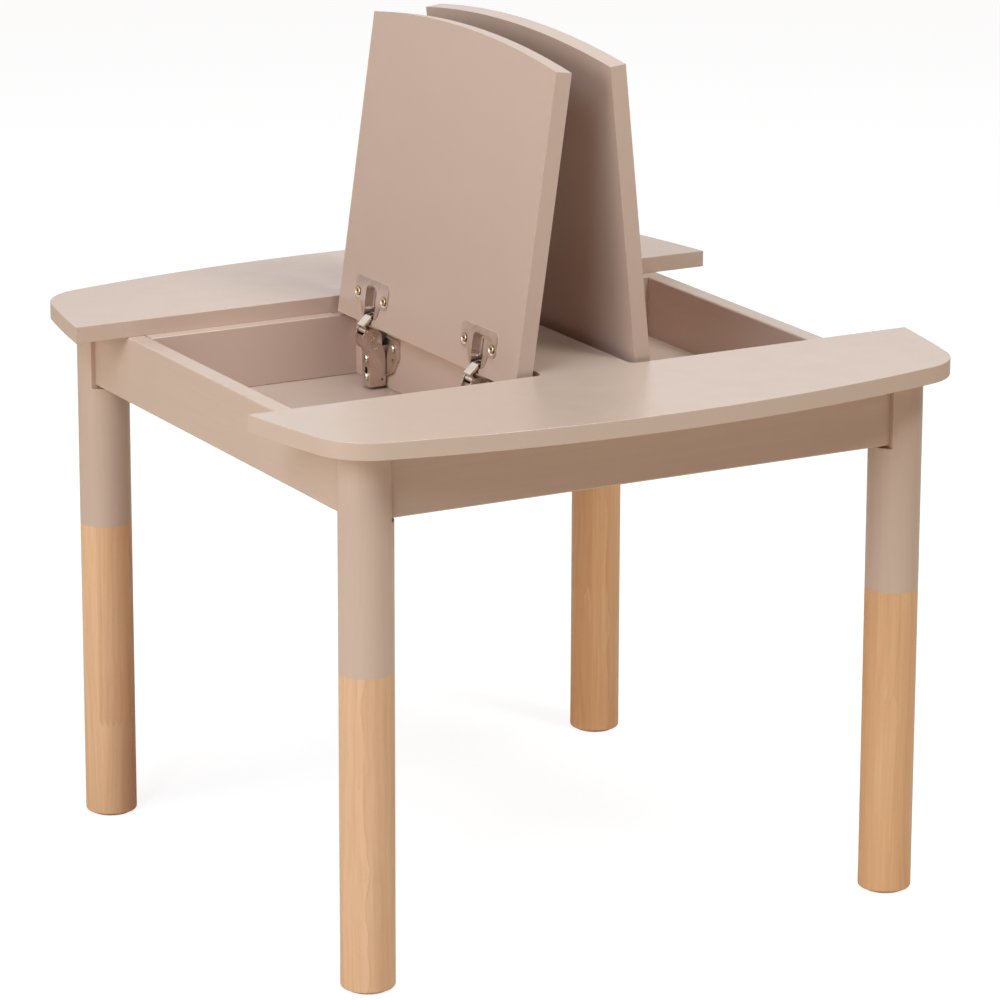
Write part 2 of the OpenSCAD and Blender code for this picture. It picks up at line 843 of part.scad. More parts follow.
module mounting_plate(side, k) {
  boss_w = arm_w - 2 * arm_t - 0.8;
  wing_from = arm_w / 2 + 1.5;
  color(steel) at_hinge(side, k) difference() {
    union() {
      on_face(0, plate_t) plate_outline(0);
      on_face(0, plate_rim) difference() {
        plate_outline(0);
        plate_outline(1.3);
        translate([-wing_from, 0]) square([2 * wing_from, under]);
      }
      on_face(0, boss_out) translate([-boss_w / 2, under - 53]) square([boss_w, 35]);
    }
    plate_screw_bores();
    for (y = [-plate_screw_pitch / 2, plate_screw_pitch / 2]) {
      translate([div_out, y, spare_hole_z]) rotate([0, 90, 0])
        cylinder(r = 2.2, h = 3 * plate_t, center = true);
    }
    at_arm_screws() cylinder(r = arm_shank_r + fit, h = 24, center = true);
  }
}

module plate_screws(side) {
  color(steel) for (k = [0, 1]) at_hinge(side, k) at_plate_screws() screw(4.2, 2, plate_shank_r, 15);
}

fixed_top();
lid_left();
lid_right();
apron_front();
apron_back();
apron_left();
apron_right();
box_wall_front();
box_wall_back();
divider_left();
divider_right();
storage_floor();
leg_front_left();
leg_front_right();
leg_back_left();
leg_back_right();
foot_glides();
frame_dowels();
top_dowels();
box_dowels();
floor_screws();
corner_brackets();
bracket_screws();
hanger_bolts();
hanger_nuts();
hinge_cup(-1, 0, left_open);  // hinge_cup_left_front
hinge_cup(-1, 1, left_open);  // hinge_cup_left_back
hinge_cup(1, 0, right_open);  // hinge_cup_right_front
hinge_cup(1, 1, right_open);  // hinge_cup_right_back
outer_link(-1, 0, left_open);  // outer_link_left_front
outer_link(-1, 1, left_open);  // outer_link_left_back
outer_link(1, 0, right_open);  // outer_link_right_front
outer_link(1, 1, right_open);  // outer_link_right_back
inner_link(-1, 0, left_open);  // inner_link_left_front
inner_link(-1, 1, left_open);  // inner_link_left_back
inner_link(1, 0, right_open);  // inner_link_right_front
inner_link(1, 1, right_open);  // inner_link_right_back
hinge_arm(-1, 0);  // hinge_arm_left_front
hinge_arm(-1, 1);  // hinge_arm_left_back
hinge_arm(1, 0);  // hinge_arm_right_front
hinge_arm(1, 1);  // hinge_arm_right_back
mounting_plate(-1, 0);  // mounting_plate_left_front
mounting_plate(-1, 1);  // mounting_plate_left_back
mounting_plate(1, 0);  // mounting_plate_right_front
mounting_plate(1, 1);  // mounting_plate_right_back
cup_screws(-1, left_open);  // cup_screws_left
cup_screws(1, right_open);  // cup_screws_right
cup_pins(-1, left_open);  // cup_pins_left
cup_pins(1, right_open);  // cup_pins_right
arm_pins(-1);  // arm_pins_left
arm_pins(1);  // arm_pins_right
arm_screws(-1);  // arm_screws_left
arm_screws(1);  // arm_screws_right
plate_screws(-1);  // plate_screws_left
plate_screws(1);  // plate_screws_right
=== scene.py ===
import math

import bpy
from mathutils import Matrix, Vector


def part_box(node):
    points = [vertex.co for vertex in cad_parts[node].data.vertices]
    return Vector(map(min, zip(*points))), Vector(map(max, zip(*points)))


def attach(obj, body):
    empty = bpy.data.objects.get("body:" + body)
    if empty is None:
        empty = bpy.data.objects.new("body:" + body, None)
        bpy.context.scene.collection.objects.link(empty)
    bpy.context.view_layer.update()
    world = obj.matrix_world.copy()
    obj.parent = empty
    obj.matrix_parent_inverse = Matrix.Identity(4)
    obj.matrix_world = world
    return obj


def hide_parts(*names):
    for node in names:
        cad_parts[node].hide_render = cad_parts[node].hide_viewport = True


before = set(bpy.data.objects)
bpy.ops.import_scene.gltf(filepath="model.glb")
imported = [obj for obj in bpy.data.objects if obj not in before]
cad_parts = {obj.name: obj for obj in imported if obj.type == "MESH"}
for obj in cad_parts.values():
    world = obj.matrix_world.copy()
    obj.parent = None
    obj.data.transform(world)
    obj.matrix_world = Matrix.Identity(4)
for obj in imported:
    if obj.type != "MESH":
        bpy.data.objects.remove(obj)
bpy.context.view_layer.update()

# The camera stands where the photograph was taken from: some 4.9 m away at the table's front left, with a
# long lens, a little above the table and looking slightly down.
camera_data = bpy.data.cameras.new("studio camera")
camera_data.sensor_width = 36
camera_data.lens = 180.36
camera = bpy.data.objects.new("studio camera", camera_data)
bpy.context.scene.collection.objects.link(camera)
camera.location = (-2.209138, -4.018982, 1.633215)
turn = Matrix.Rotation(math.radians(-28.912), 4, "Z")
tilt = Matrix.Rotation(math.radians(90 - 15.643), 4, "X")
roll = Matrix.Rotation(math.radians(0.16), 4, "Z")
camera.rotation_euler = (turn @ tilt @ roll).to_euler()
bpy.context.scene.camera = camera

# The fixed top is one 16 mm board with bowed sides, opened on both sides of a middle bar. Its edges are eased
# with sandpaper and it has a smooth satin lacquer in a warm grey-brown.
EASED_EDGE = 0.0012
SHARP_EDGE = math.radians(30)
LACQUER = (0.552, 0.374, 0.297)


def select_only(piece):
    bpy.ops.object.select_all(action="DESELECT")
    piece.select_set(True)
    bpy.context.view_layer.objects.active = piece


def plain_copy(node, name):
    """A copy of a CAD node's mesh with its flat faces made whole."""
    piece = bpy.data.objects.new(name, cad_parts[node].data.copy())
    bpy.context.scene.collection.objects.link(piece)
    piece.data.materials.clear()
    select_only(piece)
    bpy.ops.mesh.customdata_custom_splitnormals_clear()
    bpy.ops.object.mode_set(mode="EDIT")
    bpy.ops.mesh.select_all(action="SELECT")
    bpy.ops.mesh.remove_doubles(threshold=0.00001)
    bpy.ops.mesh.dissolve_limited(angle_limit=math.radians(0.3))
    bpy.ops.object.mode_set(mode="OBJECT")
    return piece


def round_edges(piece, radius, steps=3):
    """Rounds a piece's sharp edges and keeps its flat faces flat in the shading."""
    select_only(piece)
    rounding = piece.modifiers.new("rounding", "BEVEL")
    rounding.width = radius
    rounding.segments = steps
    rounding.limit_method = "ANGLE"
    rounding.angle_limit = SHARP_EDGE
    rounding.use_clamp_overlap = True
    bpy.ops.object.modifier_apply(modifier=rounding.name)
    bpy.ops.object.shade_smooth_by_angle(angle=SHARP_EDGE)
    flats = piece.modifiers.new("even flats", "WEIGHTED_NORMAL")
    flats.keep_sharp = True
    bpy.ops.object.modifier_apply(modifier=flats.name)
    return piece


def rounded_copy(node, name, radius, steps=3):
    return round_edges(plain_copy(node, name), radius, steps)


def stands_for(piece, node, body, material):
    """Puts a piece in a CAD node's place, on its body and with its finish."""
    piece.data.materials.append(material)
    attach(piece, body)
    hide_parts(node)


def new_material(name):
    """An empty material, its node tree, and its shader."""
    material = bpy.data.materials.new(name)
    material.use_nodes = True
    tree = material.node_tree
    return material, tree, tree.nodes["Principled BSDF"]


def add_node(tree, kind, settings=None, **inputs):
    """Adds a node, sets its options, and fills or links its inputs, written with _ for each space."""
    node = tree.nodes.new("ShaderNode" + kind)
    for key, value in (settings or {}).items():
        setattr(node, key, value)
    for key, value in inputs.items():
        socket = node.inputs[int(key[1:])] if key[1:].isdigit() else node.inputs[key.replace("_", " ")]
        if isinstance(value, bpy.types.NodeSocket):
            tree.links.new(value, socket)
        else:
            socket.default_value = value
    return node


def on_piece(tree):
    """Places on the piece in metres, which stay on it as it moves."""
    return add_node(tree, "TexCoord").outputs["Object"]


def noise(tree, place, scale, detail, **more):
    return add_node(tree, "TexNoise", Vector=place, Scale=scale, Detail=detail, **more).outputs["Fac"]


def calculate(tree, operation, *values):
    """The result of a sum on values, each of them a number or a link."""
    inputs = {f"_{index}": value for index, value in enumerate(values)}
    return add_node(tree, "Math", {"operation": operation}, **inputs).outputs["Value"]


def remap(tree, value, start, stop, low=0.0, high=1.0):
    """Goes from low to high as the value goes from start to stop, and stays level beyond them."""
    return add_node(tree, "MapRange", Value=value, From_Min=start, From_Max=stop, To_Min=low,
                    To_Max=high).outputs["Result"]


def toned(colour, share):
    return tuple(share * part for part in colour)


def two_tones(tree, value, start, start_colour, stop, stop_colour):
    """Goes from one colour to another as the value goes from start to stop."""
    ramp = add_node(tree, "ValToRGB", Fac=value)
    ends = ramp.color_ramp.elements
    ends[0].position, ends[0].color = start, (*start_colour, 1)
    ends[1].position, ends[1].color = stop, (*stop_colour, 1)
    return ramp.outputs["Color"]


def fill_shader(tree, shader, colour, rough, height, strength, depth):
    """Gives a shader its colour, its roughness, and bumps from a height pattern, with their depth in metres."""
    bump = add_node(tree, "Bump", Height=height, Strength=strength, Distance=depth)
    tree.links.new(colour, shader.inputs["Base Color"])
    if isinstance(rough, float):
        shader.inputs["Roughness"].default_value = rough
    else:
        tree.links.new(rough, shader.inputs["Roughness"])
    tree.links.new(bump.outputs["Normal"], shader.inputs["Normal"])


def lacquer_colour(tree, place):
    """The lacquer's colour: even, with a very slow drift in tone across the boards."""
    drift = noise(tree, place, 2.2, 3.0)
    return two_tones(tree, drift, 0.3, toned(LACQUER, 0.975), 0.7, toned(LACQUER, 1.02))


def lacquer_surface(tree, place):
    """The roughness of sprayed lacquer, and the height pattern of its fine skin and slow waves."""
    rough = remap(tree, noise(tree, place, 38.0, 4.0), 0.3, 0.7, 0.28, 0.36)
    skin = noise(tree, place, 520.0, 3.0, Roughness=0.6)
    wave = noise(tree, place, 45.0, 1.0)
    return rough, calculate(tree, "MULTIPLY_ADD", wave, 2.0, skin)


def board_lacquer():
    material, tree, shader = new_material("satin lacquer on board")
    place = on_piece(tree)
    rough, height = lacquer_surface(tree, place)
    fill_shader(tree, shader, lacquer_colour(tree, place), rough, height, 0.35, 0.00006)
    shader.inputs["Specular IOR Level"].default_value = 0.85
    return material


lacquer = board_lacquer()
top = rounded_copy("fixed_top", "lacquered_top", EASED_EDGE)
stands_for(top, "fixed_top", "table", lacquer)

# The two lids are cut from the same board, one from each side of the top. Their outer edges carry on the bowed
# outline, and they have the same eased edges and lacquer.
for side in ("left", "right"):
    lid = rounded_copy(f"lid_{side}", f"lacquered_lid_{side}", EASED_EDGE)
    stands_for(lid, f"lid_{side}", f"lid_{side}", lacquer)

# The aprons are 18 mm boards between the legs with rounded long edges. The grain of the wood runs along them
# and just shows through the lacquer.
SAWN_EDGE = 0.0004
ACROSS_GRAIN = 60.0
ALONG_GRAIN = 1.6


def scaled(tree, colour, share):
    return add_node(tree, "VectorMath", {"operation": "SCALE"}, _0=colour, Scale=share).outputs["Vector"]


def stretched(tree, place, scale):
    return add_node(tree, "Mapping", Vector=place, Scale=scale).outputs["Vector"]


def grained_lacquer(name, run):
    """Lacquer over solid wood: faint pores and soft ridges that run along one axis."""
    material, tree, shader = new_material(name)
    place = on_piece(tree)
    rough, height = lacquer_surface(tree, place)
    scale = [ALONG_GRAIN if axis == run else ACROSS_GRAIN for axis in "XYZ"]
    grain = noise(tree, stretched(tree, place, scale), 4.0, 5.0, Roughness=0.7)
    height = calculate(tree, "MULTIPLY_ADD", grain, 1.6, height)
    colour = scaled(tree, lacquer_colour(tree, place), remap(tree, grain, 0.3, 0.7, 0.97, 1.02))
    fill_shader(tree, shader, colour, rough, height, 0.4, 0.00007)
    return material


across_lacquer = grained_lacquer("lacquer with grain along X", "X")
deep_lacquer = grained_lacquer("lacquer with grain along Y", "Y")
for side, finish in (("front", across_lacquer), ("back", across_lacquer), ("left", deep_lacquer),
                     ("right", deep_lacquer)):
    apron = rounded_copy(f"apron_{side}", f"lacquered_apron_{side}", SAWN_EDGE, steps=2)
    stands_for(apron, f"apron_{side}", "table", finish)

# The inner box holds what is stored: a front and a back wall, a divider on each side of the bar that carries
# the hinges, and a thin floor, all lacquered like the top.
for side in ("front", "back"):
    wall = rounded_copy(f"box_wall_{side}", f"tray_wall_{side}", SAWN_EDGE, steps=2)
    stands_for(wall, f"box_wall_{side}", "table", lacquer)
for side in ("left", "right"):
    divider = rounded_copy(f"divider_{side}", f"tray_divider_{side}", SAWN_EDGE, steps=2)
    stands_for(divider, f"divider_{side}", "table", lacquer)
tray_floor = rounded_copy("storage_floor", "tray_floor", SAWN_EDGE, steps=2)
stands_for(tray_floor, "storage_floor", "table", lacquer)

# The legs are turned from 50 mm beech. The lower part is clear lacquered wood, and the upper part is dipped in
# the table's colour down to a sharp line.
LEG_EDGE = 0.0003
PAINT_LINE = 0.297
BEECH = (0.676, 0.400, 0.241)
GLUE_TURN = math.radians(28.9)
GLUE_BLUR = 0.0002
FINGER_WIDTH = 0.0028
FINGER_SLOPE = -3.4


def calculate_vector(tree, operation, first, second):
    return add_node(tree, "VectorMath", {"operation": operation}, _0=first, _1=second).outputs["Vector"]


def glued_staves(tree, across, up, glue, joint, jointed, tones):
    """A leg's two staves, one of them finger-jointed at a height.

    The glue line runs up the leg at a distance from its axis. Returned are a shift that gives each length of
    wood its own part of the grain pattern, and a tone for each, dark along the glue.
    """
    right = remap(tree, across, glue - GLUE_BLUR, glue + GLUE_BLUR)
    teeth = calculate(tree, "PINGPONG", across, FINGER_WIDTH)
    edge = calculate(tree, "MULTIPLY_ADD", teeth, FINGER_SLOPE, up)
    share = right if jointed == "right" else calculate(tree, "SUBTRACT", 1.0, right)
    over = calculate(tree, "MULTIPLY", remap(tree, edge, joint - GLUE_BLUR, joint + GLUE_BLUR), share)
    lengths = add_node(tree, "CombineXYZ", X=right, Y=over).outputs["Vector"]
    shift = calculate_vector(tree, "MULTIPLY", lengths, (0.31, 0.17, 0.0))
    tone = calculate(tree, "MULTIPLY_ADD", right, tones[0], 1.0)
    tone = calculate(tree, "MULTIPLY_ADD", over, tones[1], tone)
    glue_line = calculate(tree, "COMPARE", across, glue, 0.00022)
    joint_line = calculate(tree, "MULTIPLY", calculate(tree, "COMPARE", edge, joint, 0.0005), share)
    lines = calculate(tree, "MAXIMUM", glue_line, joint_line)
    return shift, calculate(tree, "MULTIPLY_ADD", lines, -0.10, tone)


def flame_shade(tree, across, up, flame_at):
    """One wavy dark line of figure that wanders up the leg, with a soft light side."""
    wander = add_node(tree, "TexNoise", {"noise_dimensions": "1D"}, W=up, Scale=13.0, Detail=1.5)
    wander = calculate(tree, "MULTIPLY_ADD", wander.outputs["Fac"], -0.022, across)
    ramp = add_node(tree, "ValToRGB", Fac=remap(tree, wander, flame_at - 0.019, flame_at + 0.001))
    stops = ramp.color_ramp.elements
    stops[0].color = stops[1].color = (0.80, 0.80, 0.80, 1)
    for position, shade in ((0.36, 0.845), (0.40, 0.70), (0.46, 0.765)):
        stops.new(position).color = (shade, shade, shade, 1)
    return ramp.outputs["Color"]


def turned_leg(name, x, y, foot, seed, warm, glue, joint, jointed, tones, flame_at):
    """Clear beech with fine streaks, flecks and a wavy figure, painted shade at the foot, lacquered above the
    line.
    """
    material, tree, shader = new_material(name)
    place = on_piece(tree)
    turned = add_node(tree, "Mapping", Vector=place, Rotation=(0, 0, GLUE_TURN),
                      Location=(y * math.sin(GLUE_TURN) - x * math.cos(GLUE_TURN), 0, 0))
    split = add_node(tree, "SeparateXYZ", Vector=turned.outputs["Vector"])
    across, up = split.outputs["X"], split.outputs["Z"]
    shift, stave_tone = glued_staves(tree, across, up, glue, joint, jointed, tones)
    # Painted shade: the wood darkens towards the foot over its lowest 1.6 mm, where the leg meets its glide.
    painted_foot_shade = remap(tree, up, foot + 0.0004, foot + 0.0016, 0.55)

    centred = add_node(tree, "Mapping", Vector=place, Location=(-x, -y, seed * 0.7),
                       Rotation=(0, 0, seed * 1.3)).outputs["Vector"]
    centred = calculate_vector(tree, "ADD", centred, shift)
    warp = add_node(tree, "TexNoise", Vector=centred, Scale=5.0, Detail=2.0).outputs["Color"]
    bent = calculate_vector(tree, "ADD", centred, scaled(tree, warp, 0.02))
    streaks = noise(tree, stretched(tree, bent, (260, 260, 5.5)), 1.0, 6.0, Roughness=0.62)
    bands = noise(tree, stretched(tree, bent, (34, 34, 1.9)), 1.0, 2.5)
    rings = add_node(tree, "TexWave", {"wave_type": "BANDS", "bands_direction": "X"},
                     Vector=stretched(tree, bent, (22, 22, 1.1)), Scale=1.0, Distortion=7.0,
                     Detail=2.0).outputs["Fac"]
    flecks = noise(tree, stretched(tree, centred, (1500, 1500, 170)), 1.0, 1.0)

    dark, light = (tuple(c * w * t for c, w, t in zip(BEECH, warm, tint))
                   for tint in ((0.94, 0.86, 0.79), (1.05, 1.08, 1.11)))
    wood = two_tones(tree, streaks, 0.25, dark, 0.72, light)
    tone = remap(tree, bands, 0.3, 0.7, 0.94, 1.05)
    for share in (remap(tree, rings, 0.0, 0.12, 0.93), remap(tree, flecks, 0.24, 0.36, 0.88), stave_tone,
                  painted_foot_shade, flame_shade(tree, across, up, flame_at), 1.25):
        tone = calculate(tree, "MULTIPLY", tone, share)
    tint = add_node(tree, "CombineXYZ", X=calculate(tree, "POWER", tone, 0.6), Y=tone,
                    Z=calculate(tree, "POWER", tone, 1.35)).outputs["Vector"]
    beech = calculate_vector(tree, "MULTIPLY", wood, tint)

    rough, height = lacquer_surface(tree, place)
    level = calculate(tree, "MULTIPLY_ADD", noise(tree, place, 60.0, 2.0), 0.0008, up)
    above = remap(tree, level, PAINT_LINE, PAINT_LINE + 0.0004)
    painted = scaled(tree, lacquer_colour(tree, place), remap(tree, streaks, 0.3, 0.7, 0.975, 1.015))
    colour = add_node(tree, "Mix", {"data_type": "RGBA"}, _0=above, _6=beech, _7=painted).outputs[2]
    clear_rough = remap(tree, streaks, 0.3, 0.7, 0.46, 0.38)
    gloss = add_node(tree, "Mix", {"data_type": "FLOAT"}, _0=above, _2=clear_rough, _3=rough).outputs[0]
    height = calculate(tree, "MULTIPLY_ADD", streaks, 2.2, height)
    height = calculate(tree, "MULTIPLY_ADD", above, 1.5, height)
    fill_shader(tree, shader, colour, gloss, height, 0.35, 0.00007)
    return material


STAVES = {
    "front_left": dict(warm=(1.0, 1.0, 1.0), glue=0.0104, joint=0.36, jointed="left", tones=(-0.03, 0.0),
                       flame_at=-0.001),
    "front_right": dict(warm=(1.01, 0.92, 0.78), glue=0.007, joint=0.190, jointed="left",
                        tones=(0.03, -0.06), flame_at=0.030),
    "back_left": dict(warm=(1.05, 1.03, 0.99), glue=-0.008, joint=0.093, jointed="right",
                      tones=(0.0, -0.07), flame_at=0.026),
    "back_right": dict(warm=(1.08, 1.02, 0.90), glue=-0.004, joint=0.150, jointed="left",
                       tones=(0.04, -0.05), flame_at=0.012),
}
for seed, (leg_name, staves) in enumerate(STAVES.items(), start=1):
    node = f"leg_{leg_name}"
    low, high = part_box(node)
    middle = (low + high) / 2
    leg = rounded_copy(node, f"turned_{node}", LEG_EDGE, steps=2)
    beech = turned_leg(f"beech, {leg_name}", middle.x, middle.y, low.z, seed, **staves)
    stands_for(leg, node, "table", beech)

# Each leg stands on a moulded plastic glide, pressed into its end grain with a stem.
def moulded_white():
    material, tree, shader = new_material("moulded glide")
    place = on_piece(tree)
    grain = noise(tree, place, 1500.0, 2.0)
    scuff = noise(tree, place, 140.0, 5.0)
    colour = two_tones(tree, scuff, 0.35, (0.60, 0.58, 0.55), 0.6, (0.72, 0.71, 0.68))
    fill_shader(tree, shader, colour, 0.55, grain, 0.4, 0.00005)
    return material


glides = rounded_copy("foot_glides", "leg_glides", 0.0002, steps=2)
stands_for(glides, "foot_glides", "table", moulded_white())

# Beech dowels hold the frame, the top and the inner box together. They sit out of sight in their bores.
def dowel_beech():
    material, tree, shader = new_material("plain beech")
    streaks = noise(tree, on_piece(tree), 260.0, 5.0)
    colour = two_tones(tree, streaks, 0.0, toned(BEECH, 0.8), 1.0, toned(BEECH, 1.1))
    fill_shader(tree, shader, colour, 0.62, streaks, 0.4, 0.0001)
    return material


dowel_wood = dowel_beech()
for node in ("frame_dowels", "top_dowels", "box_dowels"):
    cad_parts[node].data.materials.clear()
    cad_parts[node].data.materials.append(dowel_wood)

# Zinc-plated steel pulls the corners together behind the aprons: brackets with screws, and a hanger bolt with
# its nut in each leg. Screws of the same plating hold the tray floor from below.
# How far from a corner or hollow the painted shade on plated steel reaches.
PAINTED_SHADE_REACH = 0.014


def plated_steel(name, colour, rough_from, rough_to, cloudy, brushed):
    """Plated steel: a faint cloudy tone, fine rolling marks, and painted shade in corners and hollows."""
    material, tree, shader = new_material(name)
    place = on_piece(tree)
    cloud = noise(tree, place, cloudy, 4.0)
    rolled = noise(tree, stretched(tree, place, brushed), 1.0, 3.0)
    tone = two_tones(tree, cloud, 0.3, toned(colour, 0.9), 0.7, toned(colour, 1.05))
    rough = remap(tree, calculate(tree, "ADD", cloud, rolled), 0.6, 1.4, rough_from, rough_to)
    # Painted shade: the plating's colour darkens where ambient occlusion finds corners, hollows and narrow
    # gaps.
    corners = add_node(tree, "AmbientOcclusion", {"samples": 32}, Distance=PAINTED_SHADE_REACH)
    painted_shade = remap(tree, corners.outputs["AO"], 0.12, 0.62, 0.3)
    fill_shader(tree, shader, scaled(tree, tone, painted_shade), rough, rolled, 0.12, 0.00003)
    shader.inputs["Metallic"].default_value = 1.0
    return material


zinc = plated_steel("zinc plating", (0.58, 0.59, 0.60), 0.28, 0.46, 90.0, (900, 900, 160))
for node in ("corner_brackets", "hanger_bolts", "hanger_nuts", "bracket_screws", "floor_screws"):
    fitting = rounded_copy(node, f"zinc_{node}", 0.00025, steps=2)
    stands_for(fitting, node, "table", zinc)

# The hinge cups are drawn from nickel-plated sheet and let into the lids. Their arms and mounting plates are
# pressed from the same satin sheet and sit on the dividers.
satin_nickel = plated_steel("satin nickel", (0.69, 0.575, 0.50), 0.25, 0.33, 60.0, (500, 500, 1400))
HINGE_Y = {"front": -0.101, "back": 0.112}
LID_EDGE = {"left": (0.07155, 0.50458, 98.1), "right": (0.07139, 0.50441, 95.9)}
MIRROR = {"left": -1, "right": 1}
CUP_POCKET = ((0.0246, 0, 0.00125), (0.0252, 0.021, 0.0185))
CUP_FLANGE = -0.0012
CUP_SCREW_IN = 0.0275
CUP_SCREW_ASIDE = 0.026
SCREW_SEAT = (0.0112, 0.0112, 0.0014)
ARM_FACE = 0.0083
ARM_DOTS = ((0.0691, 0.4927), (0.0677, 0.4819))
DOT_SIZE = (0.0030, 0.0008, 0.0030)
ARM_DENT = (0.0613, 0.4517)
DENT_SIZE = (0.0040, 0.0008, 0.0022)


def lid_place(side, depth):
    """Axes at a hinge of an open lid: in from the lid's edge, along it, and up from its underside."""
    edge_x, edge_z, opened = LID_EDGE[side]
    cos, sin, sign = math.cos(math.radians(opened)), math.sin(math.radians(opened)), MIRROR[side]
    return Matrix(((sign * cos, 0, -sign * sin, sign * edge_x), (0, 1, 0, HINGE_Y[depth]),
                   (sin, 0, cos, edge_z), (0, 0, 0, 1)))


def press(piece, shape, middle, size, place=Matrix(), raised=False, rounding=0.0):
    """Presses a block or a ball of the given size into a piece, or out of it."""
    bpy.ops.object.select_all(action="DESELECT")
    if shape == "ball":
        bpy.ops.mesh.primitive_uv_sphere_add(segments=28, ring_count=16, radius=0.5)
    else:
        bpy.ops.mesh.primitive_cube_add(size=1)
    tool = bpy.context.active_object
    tool.data.transform(Matrix.Translation(middle) @ Matrix.Diagonal((*size, 1)))
    if rounding:
        soft = tool.modifiers.new("rounding", "BEVEL")
        soft.width = rounding
        soft.segments = 6
        bpy.ops.object.modifier_apply(modifier=soft.name)
    tool.data.transform(place)
    if place.determinant() < 0:
        tool.data.flip_normals()
    select_only(piece)
    pressing = piece.modifiers.new("pressing", "BOOLEAN")
    pressing.operation = "UNION" if raised else "DIFFERENCE"
    pressing.solver = "EXACT"
    pressing.object = tool
    bpy.ops.object.modifier_apply(modifier=pressing.name)
    bpy.data.objects.remove(tool, do_unlink=True)


def press_arm(arm, side, depth):
    """Presses two raised dots and a dent into each side of an arm."""
    for face in (-ARM_FACE, ARM_FACE):
        y = HINGE_Y[depth] + face
        for out, up in ARM_DOTS:
            press(arm, "ball", (MIRROR[side] * out, y, up), DOT_SIZE, raised=True)
        out, up = ARM_DENT
        press(arm, "ball", (MIRROR[side] * out, y, up), DENT_SIZE)


for side in ("left", "right"):
    for depth in ("front", "back"):
        where = f"{side}_{depth}"
        cup = plain_copy(f"hinge_cup_{where}", f"pressed_cup_{where}")
        place = lid_place(side, depth)
        press(cup, "block", *CUP_POCKET, place, rounding=0.0048)
        for aside in (-CUP_SCREW_ASIDE, CUP_SCREW_ASIDE):
            press(cup, "ball", (CUP_SCREW_IN, aside, CUP_FLANGE), SCREW_SEAT, place)
        round_edges(cup, 0.00055)
        stands_for(cup, f"hinge_cup_{where}", f"lid_{side}", satin_nickel)
        arm = plain_copy(f"hinge_arm_{where}", f"pressed_arm_{where}")
        press_arm(arm, side, depth)
        round_edges(arm, 0.0005)
        stands_for(arm, f"hinge_arm_{where}", "table", satin_nickel)
        plate = rounded_copy(f"mounting_plate_{where}", f"pressed_plate_{where}", 0.0004)
        stands_for(plate, f"mounting_plate_{where}", "table", satin_nickel)

# Two links join each cup to its arm: a wide bright bar that is bent out over the nose of the arm, and a narrow
# satin one that hooks round the edge of the lid.
bright_nickel = plated_steel("bright nickel", (0.72, 0.64, 0.57), 0.18, 0.30, 120.0, (700, 1500, 160))
LINK_EDGE = 0.0003
ARM_PIN = Vector((0.0769, 0.4993))
LID_PIN = {"left": Vector((0.06236, 0.51307)), "right": Vector((0.06253, 0.51325))}
BOW = 0.0056
BAR_HALF = 0.0012
LOW_BEND = (-46, -33)
HIGH_BEND = (15.5, 38)
LOW_RISE = 0.0025
HIGH_RISE = 0.00049


def straighten(link, side):
    """Flattens the link's round bow into a straight bar with two bends, as far as the closed lid leaves room.

    Angles are in degrees round the middle of the bow, from its top, and grow towards the lid.
    """
    span = LID_PIN[side] - ARM_PIN
    along = span.normalized()
    out = Vector((along.y, -along.x))
    radius = (span.length ** 2 / 4 + BOW ** 2) / (2 * BOW)
    middle = ARM_PIN + span / 2 + (BOW - radius) * out
    for vertex in link.data.vertices:
        spoke = Vector((MIRROR[side] * vertex.co.x, vertex.co.z)) - middle
        if abs(spoke.length - radius) > BAR_HALF + 0.0001:
            continue
        angle = math.degrees(math.atan2(spoke.dot(along), spoke.dot(out)))
        if LOW_BEND[0] < angle < LOW_BEND[1]:
            grow = LOW_RISE * (angle - LOW_BEND[0]) / (LOW_BEND[1] - LOW_BEND[0])
        elif LOW_BEND[1] <= angle < HIGH_BEND[0]:
            grow = (radius + BAR_HALF) * (1 / math.cos(math.radians(angle)) - 1)
        elif HIGH_BEND[0] <= angle < HIGH_BEND[1]:
            grow = HIGH_RISE * (HIGH_BEND[1] - angle) / (HIGH_BEND[1] - HIGH_BEND[0])
        else:
            continue
        moved = middle + spoke * (spoke.length + grow) / spoke.length
        vertex.co.x, vertex.co.z = MIRROR[side] * moved.x, moved.y


for side in ("left", "right"):
    for depth in ("front", "back"):
        where = f"{side}_{depth}"
        outer = plain_copy(f"outer_link_{where}", f"bright_link_{where}")
        straighten(outer, side)
        round_edges(outer, LINK_EDGE)
        stands_for(outer, f"outer_link_{where}", f"outer_links_{side}", bright_nickel)
        inner = rounded_copy(f"inner_link_{where}", f"hooked_link_{where}", LINK_EDGE)
        stands_for(inner, f"inner_link_{where}", f"inner_links_{side}", satin_nickel)

# Screws and pins of the hinges. The screws in the cups are yellow passivated, with low heads and cross slots,
# and the rest is nickel plated.
yellow_steel = plated_steel("yellow passivated steel", (0.56, 0.41, 0.25), 0.32, 0.46, 200.0, (900, 900, 900))
PIN_EDGE = 0.0002
LOW_HEAD = 0.55
HEAD_DIMPLE = (0.0050, 0.0050, 0.0014)
CROSS_SLOTS = ((0.0044, 0.0011, 0.0020), (0.0011, 0.0044, 0.0020))


def flatten_heads(screws, side):
    """Lowers the screws' heads, which stand on the cups' flanges at one height for both hinges of a lid."""
    place = lid_place(side, "front")
    inwards = place.inverted()
    for vertex in screws.data.vertices:
        local = inwards @ vertex.co
        if local.z < CUP_FLANGE - 0.0001:
            local.z = CUP_FLANGE + LOW_HEAD * (local.z - CUP_FLANGE)
            vertex.co = place @ local


